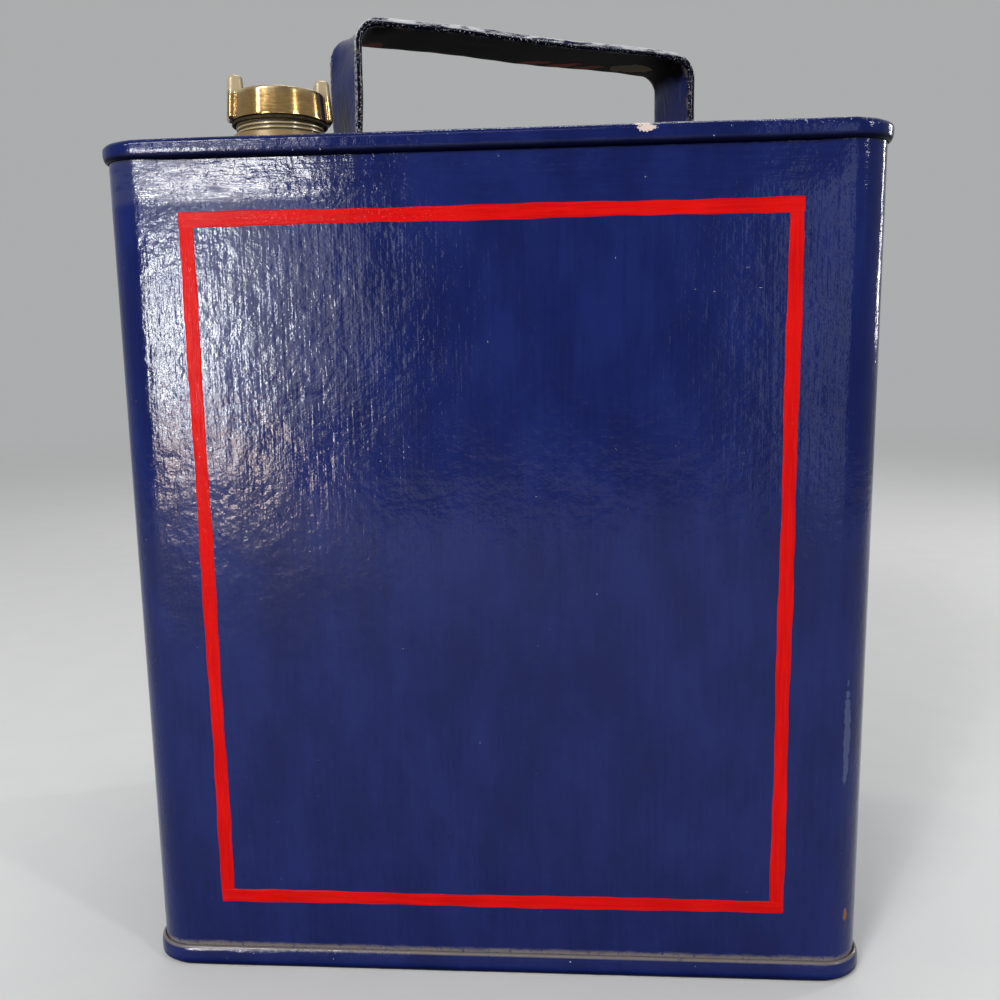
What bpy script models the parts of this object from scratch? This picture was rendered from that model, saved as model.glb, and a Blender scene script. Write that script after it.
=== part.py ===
"""A two-gallon fuel can of folded sheet steel, with a strap handle and a brass screw cap.

The body is two pressed halves hooked together in a lock seam down each narrow side. A top panel and
a base panel, each recessed inside its own rolled rim, close the ends. The filler neck is a turned
collar sweated into the top panel, and the cap is a hollow plug with two lugs.

X is the width, Y the depth away from the front face, Z is up, and the origin is the centre of the
base on the ground. Every length is in metres.
"""

import math

import bmesh
import bpy
from mathutils import Matrix, Vector

# Sheet and fits
sheet = 0.0007
fit_gap = 0.0003
cut_overrun = 0.004
mirror_merge = 0.00005
turn_merge = 0.00001
weld_distance = 0.000001

# Body
body_width = 0.234
body_depth = 0.160
can_height = 0.267
corner_radius = 0.0120
corner_steps = 8

# Rolled rims at the top and the base
top_rim_height = 0.0058
base_rim_height = 0.0068
rim_proud = 0.0017
rim_lip_rise = 0.0026
rim_foot_radius = 0.0008
panel_fillet = 0.0016
shell_end_clearance = 0.0001
top_recess = 0.0055
base_recess = 0.0060

# Lock seam down each narrow side
seam_overlap = 0.0030
seam_jog_start = 0.0042
seam_jog_run = 0.0020
seam_relief = 0.0010
seam_solder_width = 0.0020
seam_solder_depth = 0.0007
seam_solder_face = 0.0014

# Handle
handle_length = 0.1365
handle_width = 0.0260
handle_thickness = 0.0026
handle_rise = 0.0483
handle_centre_x = 0.0070
handle_centre_y = 0.0087
handle_turn = math.radians(27.0)
handle_bend_radius = 0.0080
handle_edge_radius = 0.0007
foot_length = 0.0240
foot_bend_radius = 0.0034
backing_length = 0.0280
backing_width = 0.0340
backing_thickness = 0.0012
backing_corner = 0.0040

# Rivets
rivet_spacing = 0.0140
rivet_from_leg = 0.0150
rivet_shank_radius = 0.0021
rivet_head_radius = 0.0040
rivet_head_height = 0.0020
rivet_tail_radius = 0.0034
rivet_tail_height = 0.0012
rivet_tail_end_share = 0.8
rivet_steps = 20

# Filler neck
neck_clearance = 0.0040
neck_across = -0.0066
collar_bore_radius = 0.0145
collar_wall = 0.0012
collar_height = 0.0129
collar_spigot = 0.0037
collar_flange_radius = 0.0195
collar_flange_thickness = 0.0016
collar_chamfer = 0.0004
solder_leg = 0.0014
solder_toe = 0.0003
turned_steps = 48

# Cap
cap_unscrewed = 0.0031
cap_head_radius = 0.0157
cap_head_draft = 0.0007
cap_head_height = 0.0089
cap_head_edge = 0.0008
cap_dish_margin = 0.0030
cap_dish_depth = 0.0008
plug_clearance = 0.0003
plug_length = 0.0110
plug_wall = 0.0026
plug_chamfer = 0.0006
plug_crown_thickness = 0.0030
washer_width = 0.0011
washer_thickness = 0.0010
lug_height = 0.0054
lug_radial_thickness = 0.0056
lug_length = 0.0088
lug_proud = 0.0016
lug_draft = 0.0010
lug_edge = 0.0011
lug_turn = math.radians(22.0)

# Levels that several pieces share
wall_middle_x = body_width / 2 - sheet / 2
wall_middle_y = body_depth / 2 - sheet / 2
top_panel_face = can_height - top_recess
fold_pitch = sheet + fit_gap
shell_bottom = sheet + fit_gap + shell_end_clearance
shell_top = can_height - shell_bottom - sheet
collar_outer_radius = collar_bore_radius + collar_wall
collar_top = top_panel_face + collar_height
cap_head_bottom = collar_top + washer_thickness + 2 * fit_gap + cap_unscrewed
plug_radius = collar_bore_radius - plug_clearance
seam_bottom = base_rim_height + seam_relief / 2
seam_top = can_height - top_rim_height - seam_relief / 2

# The neck stands off the handle's left end, on a line along the handle
neck_along = -(handle_length / 2 + neck_clearance + collar_flange_radius)
neck_x = handle_centre_x + neck_along * math.cos(handle_turn) - neck_across * math.sin(handle_turn)
neck_y = handle_centre_y + neck_along * math.sin(handle_turn) + neck_across * math.cos(handle_turn)

collection = None
cutters = None


def clear_scene():
    for obj in list(bpy.data.objects):
        bpy.data.objects.remove(obj, do_unlink=True)


def new_collection(name):
    made = bpy.data.collections.new(name)
    bpy.context.scene.collection.children.link(made)
    return made


def new_material(name, colour, roughness, metallic):
    made = bpy.data.materials.new(name)
    made.use_nodes = True
    shader = made.node_tree.nodes["Principled BSDF"]
    shader.inputs["Base Color"].default_value = (*colour, 1.0)
    shader.inputs["Roughness"].default_value = roughness
    shader.inputs["Metallic"].default_value = metallic
    return made


def add_object(name, bm, material, smooth_angle=None):
    """A node made from a bmesh, in the can's collection."""
    mesh = bpy.data.meshes.new(name)
    bm.to_mesh(mesh)
    bm.free()
    if smooth_angle is not None:
        mesh.shade_smooth()
        mesh.set_sharp_from_angle(angle=smooth_angle)
    obj = bpy.data.objects.new(name, mesh)
    mesh.materials.append(material)
    collection.objects.link(obj)
    return obj


def add_cutter(name, bm):
    """A helper that Boolean modifiers use: never rendered, drawn as wire."""
    mesh = bpy.data.meshes.new(name)
    bm.to_mesh(mesh)
    bm.free()
    obj = bpy.data.objects.new(name, mesh)
    obj.hide_render = True
    obj.display_type = "WIRE"
    cutters.objects.link(obj)
    return obj


def add_solidify(obj, thickness):
    solidify = obj.modifiers.new("Thickness", "SOLIDIFY")
    solidify.thickness = thickness
    solidify.offset = 0
    solidify.use_even_offset = True
    solidify.use_quality_normals = True


def add_mirror(obj):
    mirror = obj.modifiers.new("Other half", "MIRROR")
    mirror.merge_threshold = mirror_merge


def add_boolean(obj, other, operation):
    boolean = obj.modifiers.new(other.name, "BOOLEAN")
    boolean.object = other
    boolean.operation = operation


def add_turned(name, profile, material, closed):
    """A solid of revolution about its own Z from (radius, height) points, outer side running down."""
    bm = bmesh.new()
    corners = [bm.verts.new((radius, 0, height)) for radius, height in profile]
    for first, second in zip(corners, corners[1:]):
        bm.edges.new((first, second))
    if closed:
        bm.edges.new((corners[-1], corners[0]))
    obj = add_object(name, bm, material)
    screw = obj.modifiers.new("Turn", "SCREW")
    screw.axis = "Z"
    screw.steps = turned_steps
    screw.render_steps = turned_steps
    screw.use_merge_vertices = True
    screw.merge_threshold = turn_merge
    screw.use_smooth_shade = True
    return obj


def arc_points(centre, radius, start, end, steps):
    """Points on an arc, both ends included, with the angles in degrees."""
    points = []
    for step in range(steps + 1):
        angle = math.radians(start + (end - start) * step / steps)
        points.append((centre[0] + radius * math.cos(angle), centre[1] + radius * math.sin(angle)))
    return points


def rounded_rectangle(half_x, half_y, radius):
    """A closed outline, anticlockwise from the front right corner."""
    outline = []
    for quarter, (side_x, side_y) in enumerate(((1, -1), (1, 1), (-1, 1), (-1, -1))):
        centre = (side_x * (half_x - radius), side_y * (half_y - radius))
        start = 90 * quarter - 90
        outline += arc_points(centre, radius, start, start + 90, corner_steps)
    return outline


def seam_fold():
    """The middle of the front half's hooked edge, as (along the wall, outward from its middle).

    The wall steps in by one and a half folds, runs under the seam, turns round through two folds and
    comes back. The back half is the same shape turned half a turn about the seam's centre.
    """
    step_in = 1.5 * fold_pitch
    turn = arc_points((seam_overlap, step_in - 2 * fold_pitch), fold_pitch, -90, 90, 8)
    path = [
        (-seam_overlap - seam_jog_start, 0),
        (-seam_overlap - seam_jog_start + seam_jog_run, -step_in),
    ]
    path += turn
    path.append((-seam_overlap, step_in - fold_pitch))
    return path


def add_body_half(name, side, material):
    """One pressed half of the body: side is -1 for the front and 1 for the back."""
    radius = corner_radius - sheet / 2
    centre = (wall_middle_x - radius, -(wall_middle_y - radius))
    wall = [(0, -wall_middle_y)] + arc_points(centre, radius, -90, 0, corner_steps)
    fold = [(wall_middle_x + out, along) for along, out in seam_fold()]
    if side > 0:
        wall = [(x, -y) for x, y in wall]
        fold = [(2 * wall_middle_x - x, -y) for x, y in fold]
    levels = (shell_bottom, seam_bottom - seam_relief, seam_bottom, seam_top, seam_top + seam_relief, shell_top)

    bm = bmesh.new()

    def column(place, heights):
        return [bm.verts.new((*place, height)) for height in heights]

    columns = [column(place, (shell_bottom, shell_top)) for place in wall]
    for left, right in zip(columns, columns[1:]):
        bm.faces.new((left[0], right[0], right[1], left[1]))
    split = column(fold[0], levels)
    bm.faces.new((columns[-1][0], *split, columns[-1][1]))
    previous = split[2:4]
    for place in fold[1:]:
        current = column(place, levels[2:4])
        bm.faces.new((previous[0], current[0], current[1], previous[1]))
        previous = current
    tongue_end = (wall_middle_x, side * fit_gap / 2)
    for low in (0, 4):
        end = column(tongue_end, levels[low : low + 2])
        bm.faces.new((split[low], end[0], end[1], split[low + 1]))
    bmesh.ops.recalc_face_normals(bm, faces=bm.faces)
    obj = add_object(name, bm, material, math.radians(40))
    add_mirror(obj)
    add_solidify(obj, sheet)
    return obj


def add_seam_solder(name, side, material):
    """The bead of solder run down the inside of a lock seam, between the fold's nose and the wall."""
    start = seam_overlap + fold_pitch + sheet / 2 + fit_gap
    section = [
        (start, -seam_solder_face),
        (start, seam_solder_depth),
        (start + seam_solder_width, -(sheet / 2 + fit_gap)),
        (start + seam_solder_width / 2, -seam_solder_face),
    ]
    bm = bmesh.new()
    corners = [bm.verts.new((side * (wall_middle_x + out), along, seam_bottom + fit_gap)) for along, out in section]
    foot = bm.faces.new(corners)
    grown = bmesh.ops.extrude_face_region(bm, geom=[foot], use_keep_orig=True)["geom"]
    risen = [item for item in grown if isinstance(item, bmesh.types.BMVert)]
    bmesh.ops.translate(bm, vec=(0, 0, seam_top - seam_bottom - 2 * fit_gap), verts=risen)
    bmesh.ops.recalc_face_normals(bm, faces=bm.faces)
    add_object(name, bm, material)


def rim_profile(recess, rim_height, crown_radius):
    """The middle of a panel's sheet as (outward from the body's face, inward from the can's end).

    It starts on the flat panel, climbs the inner wall, rolls over the body's edge, runs down the
    outside and turns in to the body below in a long round lip.
    """
    half = sheet / 2
    inner = -(sheet + fit_gap + half)
    outer = rim_proud - half
    side_top = half + crown_radius
    side_bottom = rim_height - half - rim_lip_rise
    points = arc_points((inner - panel_fillet, recess + half - panel_fillet), panel_fillet, 90, 0, 3)
    points += arc_points((inner + crown_radius, side_top), crown_radius, 180, 270, 4)
    points += arc_points((outer - crown_radius, side_top), crown_radius, 270, 360, 4)
    for across, along in arc_points((0, 0), 1, 0, 90, 6):
        points.append((fit_gap + across * (outer - fit_gap), side_bottom + along * rim_lip_rise))
    return points


def add_end_panel(name, profile, is_top, material):
    """A flat panel and its rolled rim, as rings of the body's outline bridged into one sheet."""
    bm = bmesh.new()
    rings = []
    for outward, inward in profile:
        outline = rounded_rectangle(body_width / 2 + outward, body_depth / 2 + outward, corner_radius + outward)
        height = can_height - inward if is_top else inward
        rings.append([bm.verts.new((x, y, height)) for x, y in outline])
    for inner, outer in zip(rings, rings[1:]):
        for here in range(len(inner)):
            there = (here + 1) % len(inner)
            bm.faces.new((inner[here], inner[there], outer[there], outer[here]))
    bm.faces.new(rings[0])
    bmesh.ops.remove_doubles(bm, verts=bm.verts, dist=weld_distance)
    bmesh.ops.recalc_face_normals(bm, faces=bm.faces)
    obj = add_object(name, bm, material, math.radians(40))
    add_solidify(obj, sheet)
    return obj


def handle_place(along, across, height):
    """A point given along and across the handle, in the can's frame."""
    turned = Matrix.Rotation(handle_turn, 3, "Z") @ Vector((along, across, 0))
    return (handle_centre_x + turned.x, handle_centre_y + turned.y, height)


def rivet_places():
    """(side along the handle, side across it) with the distance of each rivet's centre."""
    along = handle_length / 2 - rivet_from_leg
    return [
        (side, across, side * along, across * rivet_spacing / 2) for side in (-1, 1) for across in (-1, 1)
    ]


def cylinder_between(bm, centre, radius, bottom, top, segments):
    matrix = Matrix.Translation((centre[0], centre[1], (bottom + top) / 2))
    bmesh.ops.create_cone(
        bm,
        cap_ends=True,
        segments=segments,
        radius1=radius,
        radius2=radius,
        depth=top - bottom,
        matrix=matrix,
    )


def add_top_holes():
    """The cutter for the neck's hole and the four rivet holes."""
    bm = bmesh.new()
    bottom = top_panel_face - sheet - cut_overrun
    top = top_panel_face + cut_overrun
    cylinder_between(bm, (neck_x, neck_y), collar_outer_radius + fit_gap, bottom, top, turned_steps)
    for _, _, along, across in rivet_places():
        place = handle_place(along, across, 0)
        cylinder_between(bm, place, rivet_shank_radius + fit_gap, bottom, top, rivet_steps)
    return add_cutter("top_panel_holes", bm)


def add_rivet_holes():
    """The cutter for the rivet holes through the handle's feet and the backing plates."""
    bm = bmesh.new()
    bottom = top_panel_face - sheet - fit_gap - backing_thickness - cut_overrun
    top = top_panel_face + fit_gap + handle_thickness + cut_overrun
    for _, _, along, across in rivet_places():
        place = handle_place(along, across, 0)
        cylinder_between(bm, place, rivet_shank_radius + fit_gap, bottom, top, rivet_steps)
    return add_cutter("foot_rivet_holes", bm)


def add_handle(material, holes):
    """A flat strap bent down to two feet, drawn as half its middle line and mirrored."""
    half = handle_thickness / 2
    leg = handle_length / 2 - half
    foot_level = top_panel_face + fit_gap + half
    top_level = can_height + handle_rise - half
    path = [(handle_length / 2 - foot_length, foot_level)]
    path += arc_points((leg - foot_bend_radius, foot_level + foot_bend_radius), foot_bend_radius, -90, 0, 5)
    path += arc_points((leg - handle_bend_radius, top_level - handle_bend_radius), handle_bend_radius, 0, 90, 8)
    path.append((0, top_level))
    bm = bmesh.new()
    near = [bm.verts.new((along, -handle_width / 2, height)) for along, height in path]
    far = [bm.verts.new((along, handle_width / 2, height)) for along, height in path]
    for here in range(len(path) - 1):
        bm.faces.new((near[here], near[here + 1], far[here + 1], far[here]))
    obj = add_object("handle_strap", bm, material, math.radians(40))
    obj.location = (handle_centre_x, handle_centre_y, 0)
    obj.rotation_euler = (0, 0, handle_turn)
    add_mirror(obj)
    add_solidify(obj, handle_thickness)
    bevel = obj.modifiers.new("Edges", "BEVEL")
    bevel.width = handle_edge_radius
    bevel.segments = 2
    bevel.limit_method = "ANGLE"
    bevel.angle_limit = math.radians(50)
    add_boolean(obj, holes, "DIFFERENCE")
    return obj


def add_backing_plate(name, side, material, holes):
    """A plate under the top panel that spreads the load of one foot."""
    top = top_panel_face - sheet - fit_gap
    bm = bmesh.new()
    bmesh.ops.create_cube(bm, size=1)
    bmesh.ops.scale(bm, vec=(backing_length, backing_width, backing_thickness), verts=bm.verts)
    upright = [edge for edge in bm.edges if abs(edge.verts[0].co.z - edge.verts[1].co.z) > backing_thickness / 2]
    bmesh.ops.bevel(bm, geom=upright, offset=backing_corner, segments=4, profile=0.5, affect="EDGES")
    obj = add_object(name, bm, material)
    along = side * (handle_length / 2 - rivet_from_leg)
    obj.location = handle_place(along, 0, top - backing_thickness / 2)
    obj.rotation_euler = (0, 0, handle_turn)
    add_boolean(obj, holes, "DIFFERENCE")
    return obj


def add_rivets(material):
    """Four domed rivets, each through a foot, the panel and a backing plate."""
    head_level = top_panel_face + fit_gap + handle_thickness + fit_gap
    tail_level = top_panel_face - sheet - fit_gap - backing_thickness - fit_gap
    dome = [
        (rivet_head_radius * math.sin(angle), head_level + rivet_head_height * math.cos(angle))
        for angle in (0, math.pi / 6, math.pi / 3, math.pi / 2)
    ]
    profile = dome + [
        (rivet_shank_radius, head_level),
        (rivet_shank_radius, tail_level),
        (rivet_tail_radius, tail_level),
        (rivet_tail_radius * rivet_tail_end_share, tail_level - rivet_tail_height),
        (0, tail_level - rivet_tail_height),
    ]
    for side, across_side, along, across in rivet_places():
        name = f"handle_rivet_{'left' if side < 0 else 'right'}_{'front' if across_side < 0 else 'back'}"
        obj = add_turned(name, profile, material, closed=False)
        obj.modifiers["Turn"].steps = rivet_steps
        obj.modifiers["Turn"].render_steps = rivet_steps
        obj.location = handle_place(along, across, 0)


def add_neck_collar(material):
    """The turned brass collar: a flange on the panel, a spigot through it and a bored neck above."""
    flange_bottom = top_panel_face + fit_gap
    flange_top = flange_bottom + collar_flange_thickness
    spigot_bottom = top_panel_face - collar_spigot
    profile = [
        (collar_bore_radius + collar_chamfer, collar_top),
        (collar_outer_radius - collar_chamfer, collar_top),
        (collar_outer_radius, collar_top - collar_chamfer),
        (collar_outer_radius, flange_top + collar_chamfer),
        (collar_outer_radius + collar_chamfer, flange_top),
        (collar_flange_radius - collar_chamfer, flange_top),
        (collar_flange_radius, flange_top - collar_chamfer),
        (collar_flange_radius, flange_bottom),
        (collar_outer_radius, flange_bottom),
        (collar_outer_radius, spigot_bottom),
        (collar_bore_radius, spigot_bottom),
        (collar_bore_radius, collar_top - collar_chamfer),
    ]
    obj = add_turned("neck_collar", profile, material, closed=True)
    obj.location = (neck_x, neck_y, 0)


def add_neck_solder(material):
    """The fillet of solder that seals the collar's flange to the panel."""
    inner = collar_flange_radius + fit_gap
    bottom = top_panel_face + fit_gap
    profile = [
        (inner, bottom + solder_leg),
        (inner + solder_toe, bottom + solder_leg),
        (inner + solder_leg, bottom + solder_toe),
        (inner + solder_leg, bottom),
        (inner, bottom),
    ]
    obj = add_turned("neck_solder", profile, material, closed=True)
    obj.location = (neck_x, neck_y, 0)


def add_cap_washer(material):
    """The sealing washer, which rides up and down under the cap's head."""
    outer = plug_radius + fit_gap + washer_width
    inner = plug_radius + fit_gap
    profile = [(inner, 0), (outer, 0), (outer, -washer_thickness), (inner, -washer_thickness)]
    obj = add_turned("cap_washer", profile, material, closed=True)
    obj.location = (neck_x, neck_y, cap_head_bottom - fit_gap)


def add_lugs():
    """The two lugs and the ribs below them, with draft towards the top."""
    height = cap_head_height + lug_height
    outer = cap_head_radius + lug_proud
    bm = bmesh.new()
    for side in (-1, 1):
        corners = bmesh.ops.create_cube(bm, size=1)["verts"]
        bmesh.ops.scale(bm, vec=(lug_radial_thickness, lug_length, height), verts=corners)
        middle = outer - lug_radial_thickness / 2
        bmesh.ops.translate(bm, vec=(side * middle, 0, height / 2), verts=corners)
        for corner in corners:
            if corner.co.z > height / 2 and abs(corner.co.x) > middle:
                corner.co.x -= side * lug_draft
    obj = add_cutter("cap_lugs", bm)
    obj.location = (neck_x, neck_y, cap_head_bottom)
    obj.rotation_euler = (0, 0, lug_turn)
    bevel = obj.modifiers.new("Edges", "BEVEL")
    bevel.width = lug_edge
    bevel.segments = 2
    bevel.limit_method = "ANGLE"
    bevel.angle_limit = math.radians(50)
    return obj


def add_filler_cap(material, lugs):
    """The brass cap: a drafted head with a dished top over a hollow plug."""
    top = cap_head_height
    top_radius = cap_head_radius - cap_head_draft
    dish_radius = top_radius - cap_dish_margin
    bore = plug_radius - plug_wall
    profile = [
        (0, top - cap_dish_depth),
        (dish_radius, top - cap_dish_depth),
        (dish_radius + cap_dish_depth, top),
        (top_radius - cap_head_edge, top),
        *[
            (top_radius - cap_head_edge + x, top - cap_head_edge + z)
            for x, z in arc_points((0, 0), cap_head_edge, 60, 0, 2)
        ],
        (cap_head_radius, 0),
        (plug_radius, 0),
        (plug_radius, plug_chamfer - plug_length),
        (plug_radius - plug_chamfer, -plug_length),
        (bore, -plug_length),
        (bore, top - cap_dish_depth - plug_crown_thickness),
        (0, top - cap_dish_depth - plug_crown_thickness),
    ]
    obj = add_turned("filler_cap", profile, material, closed=False)
    obj.location = (neck_x, neck_y, cap_head_bottom)
    add_boolean(obj, lugs, "UNION")


def main():
    global collection, cutters
    clear_scene()
    collection = new_collection("fuel_can")
    cutters = new_collection("cutters")
    paint = new_material("blue_paint", (0.012, 0.017, 0.110), 0.22, 0.0)
    bare_steel = new_material("steel", (0.32, 0.31, 0.30), 0.45, 1.0)
    brass = new_material("brass", (0.52, 0.33, 0.11), 0.35, 1.0)
    solder = new_material("solder", (0.42, 0.42, 0.43), 0.5, 1.0)
    leather = new_material("leather", (0.045, 0.030, 0.020), 0.8, 0.0)

    add_body_half("front_shell", -1, paint)
    add_body_half("back_shell", 1, paint)
    add_seam_solder("seam_solder_left", -1, solder)
    add_seam_solder("seam_solder_right", 1, solder)
    crown_radius = (rim_proud + fit_gap + sheet) / 2
    top_panel = add_end_panel("top_panel", rim_profile(top_recess, top_rim_height, crown_radius), True, paint)
    add_boolean(top_panel, add_top_holes(), "DIFFERENCE")
    add_end_panel("base_panel", rim_profile(base_recess, base_rim_height, rim_foot_radius), False, paint)

    holes = add_rivet_holes()
    add_handle(paint, holes)
    add_backing_plate("handle_backing_left", -1, bare_steel, holes)
    add_backing_plate("handle_backing_right", 1, bare_steel, holes)
    add_rivets(paint)

    add_neck_collar(brass)
    add_neck_solder(solder)
    add_cap_washer(leather)
    add_filler_cap(brass, add_lugs())


main()
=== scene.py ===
"""The looks of a two-gallon fuel can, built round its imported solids.

The body, rims, handle, rivets, neck and cap are made again as fine meshes in the places of their
solids, with brushed enamel, a red painted border, aged brass and worn edges. Lengths are in metres
and angles in radians unless a name says otherwise. Scales of textures are in cycles per metre.
"""

import random
from math import copysign, cos, exp, hypot, pi, radians, sin

import bmesh
import bpy
from mathutils import Matrix, Vector


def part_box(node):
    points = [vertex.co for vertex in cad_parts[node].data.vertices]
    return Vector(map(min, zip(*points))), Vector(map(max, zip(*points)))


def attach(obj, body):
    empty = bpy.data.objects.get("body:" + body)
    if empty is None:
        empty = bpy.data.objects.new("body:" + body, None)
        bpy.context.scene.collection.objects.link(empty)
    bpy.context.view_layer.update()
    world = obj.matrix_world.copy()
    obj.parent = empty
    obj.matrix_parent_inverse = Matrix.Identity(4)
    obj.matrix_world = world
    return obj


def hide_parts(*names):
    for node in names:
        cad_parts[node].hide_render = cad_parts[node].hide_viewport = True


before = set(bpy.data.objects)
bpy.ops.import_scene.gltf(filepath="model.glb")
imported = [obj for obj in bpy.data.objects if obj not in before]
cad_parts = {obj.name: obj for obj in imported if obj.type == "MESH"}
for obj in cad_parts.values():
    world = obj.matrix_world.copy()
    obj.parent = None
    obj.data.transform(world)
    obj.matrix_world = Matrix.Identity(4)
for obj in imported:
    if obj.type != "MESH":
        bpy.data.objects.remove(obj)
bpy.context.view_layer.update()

scene = bpy.context.scene

# Body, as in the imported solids
sheet = 0.0007
fit_gap = 0.0003
half_width = 0.117
half_depth = 0.080
can_height = 0.267
corner_radius = 0.0120
top_recess = 0.0055
base_recess = 0.0060
panel_face = can_height - top_recess
shell_play = 0.0001

# Rolled rims
top_rim_height = 0.0058
base_rim_height = 0.0068
rim_proud = 0.0017
rim_lip_rise = 0.0026
base_lip_rise = 0.0037
rim_foot_radius = 0.0013
rim_corner_drop = 0.0005
panel_fillet = 0.0016
rim_wobble = 0.00016

# Where a rim's roll, crest and corners begin and end
rim_roll = (-0.0010, 0.0006)
rim_crest = (-0.0016, -0.0008)
rim_crest_height = (-0.0035, -0.0008)
rim_corner_margin = 0.002
rim_corner_reach = 0.007

# Lock seams
seam_overlap = 0.0030
seam_jog_start = 0.0042
seam_jog_run = 0.0020
seam_relief = 0.0010

# Wide faces: dents as (x, z, reach in x, reach in z, depth), a swage under the top rim and a bow
dents = (
    (-0.055, 0.205, 0.034, 0.040, 0.00034),
    (0.030, 0.215, 0.040, 0.026, -0.00022),
    (0.062, 0.130, 0.030, 0.050, 0.00030),
    (-0.020, 0.120, 0.045, 0.036, -0.00026),
    (-0.064, 0.075, 0.028, 0.040, 0.00024),
    (0.030, 0.055, 0.050, 0.028, 0.00022),
)
dent_side_fade = 0.022
dent_foot = (0.012, 0.040)
dent_high, dent_high_fade = can_height - 0.0125, 0.024
swage_depth = 0.00085
swage_rise = (can_height - 0.021, can_height - 0.002)
swage_side_fade = 0.012
bow_depth = 0.0006
bow_middle, bow_reach = 0.135, 0.132

# Handle
handle_length = 0.1365
handle_width = 0.0260
handle_thickness = 0.0026
handle_top = 0.3153
handle_centre = (0.0070, 0.0087)
handle_turn = radians(27.0)
handle_bend = 0.0080
foot_bend = 0.0034
foot_length = 0.0240
foot_narrowing = (0.0022, 0.0010, 0.0003)
strap_edge = 0.0009
strap_top_fade = 0.012
bend_dip = 0.0015
bend_fade = (0.003, 0.017)
strap_sag = 0.00045
strap_sway = 0.00035
strap_edge_wave = 0.00016
leg_twist = 0.0013
twist_start, twist_full = 0.012, 0.002
twist_rise = (panel_face + 0.004, panel_face + 0.030)
arris_wear = 0.55
arris_margin = 0.001

# Rivets, with the tail as (radius, drop)
backing_thickness = 0.0012
rivet_inset = 0.0150
rivet_offset = 0.0070
rivet_hole = 0.0024
rivet_shank = 0.0021
rivet_head = 0.0040
rivet_dome = 0.0020
rivet_tail = ((0.0034, 0.0), (0.0031, 0.0009), (0.0024, 0.0012), (0.0002, 0.0012))

# Neck
bore_radius = 0.0145
bore_chamfer = 0.0003
bore_lead = 0.0006
bore_thread_depth = 0.0005
bore_thread_fade = 0.0010
collar_radius = 0.0157
collar_height = 0.0129
collar_spigot = 0.0037
collar_ease = 0.0004
flange_radius = 0.0195
flange_thickness = 0.0016
flange_fillet = 0.0006
thread_pitch = 0.001337

# Solder round the flange, with its section as shares of its size
solder_size = 0.0014
solder_section = ((0.0, 0.0), (0.0, 1.0), (0.22, 0.92), (0.45, 0.62), (0.72, 0.30), (1.0, 0.08), (1.0, 0.0))

# Cap's plug and washer
thread_crest = 0.0143
thread_root = 0.0135
plug_bore = 0.0115
plug_length = 0.0110
plug_overlap = 0.0012
plug_lead = 0.0008
plug_thread_fade = 0.0007
plug_chamfer = 0.0005
plug_step = 0.0001
washer_wander = 0.00006
washer_section = (
    (0.0145, 0.0), (0.0154, 0.0), (0.0156, -0.0002), (0.0156, -0.0008), (0.0154, -0.0010), (0.0145, -0.0010),
)

# Cap's head and lugs
head_radius = 0.0157
head_draft = 0.0007
head_height = 0.0089
head_ease = 0.0007
head_crown = 0.0038
hollow_step = 0.0002
dish_depth = 0.0008
dish_inset = 0.0034
dish_rim = 0.0024
axis_gap = 0.0002
cast_skin = 0.00022
lug_height = 0.0054
lug_radial = 0.0056
lug_length = 0.0088
lug_proud = 0.0016
lug_draft = 0.0010
lug_taper = 0.0008
lug_undercut = 0.0007
lug_round = 0.0015
lug_turn = radians(22.0)

# Painted border on the front, with a stroke's section as (share across, share of its height)
border_left = -0.0925
border_right = 0.0915
border_bottom = 0.0231
border_top = 0.2456
border_width = 0.0043
border_paint = 0.00014
border_back = 0.00008
stroke_step = 0.0011
stroke_end = 0.0006
stroke_section = (
    (0.0, 0.0), (0.03, 0.75), (0.10, 1.0), (0.30, 0.72), (0.50, 0.66),
    (0.70, 0.72), (0.90, 1.0), (0.97, 0.75), (1.0, 0.0),
)
slow_wander, quick_wander, ragged_edge = 0.00016, 0.00009, 0.00006

# Points nearer than this are one point
weld = 0.000001
turned_steps = 144
turned_sharp = radians(35)

neck_low, neck_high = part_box("neck_collar")
neck_x = (neck_low.x + neck_high.x) / 2
neck_y = (neck_low.y + neck_high.y) / 2
head_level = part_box("cap_washer")[1].z + fit_gap


# Nodes


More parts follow.
